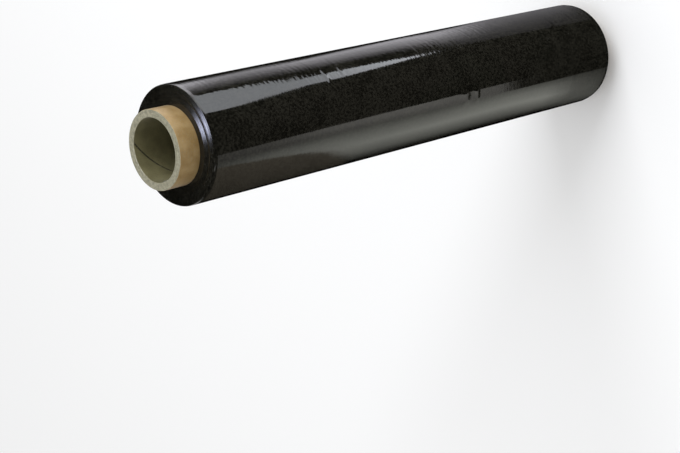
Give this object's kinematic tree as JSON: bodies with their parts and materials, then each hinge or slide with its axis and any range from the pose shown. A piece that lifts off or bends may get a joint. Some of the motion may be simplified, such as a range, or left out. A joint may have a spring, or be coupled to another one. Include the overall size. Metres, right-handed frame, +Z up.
{
  "type": "stretch wrap roll",
  "caption": "Black stretch film wound on a kraft paper core that stands out past the film at both ends.",
  "frame": {"origin": "centre of the core's lower end ring, on which the roll stands", "axes": "+Z up along the roll's axis"},
  "size_m": [0.097, 0.097, 0.538],
  "materials": {
    "core_paper": "matte",
    "black_film": "gloss"
  },
  "bodies": {
    "root": {"core": "core_paper", "film": "black_film"}
  },
  "joints": []
}
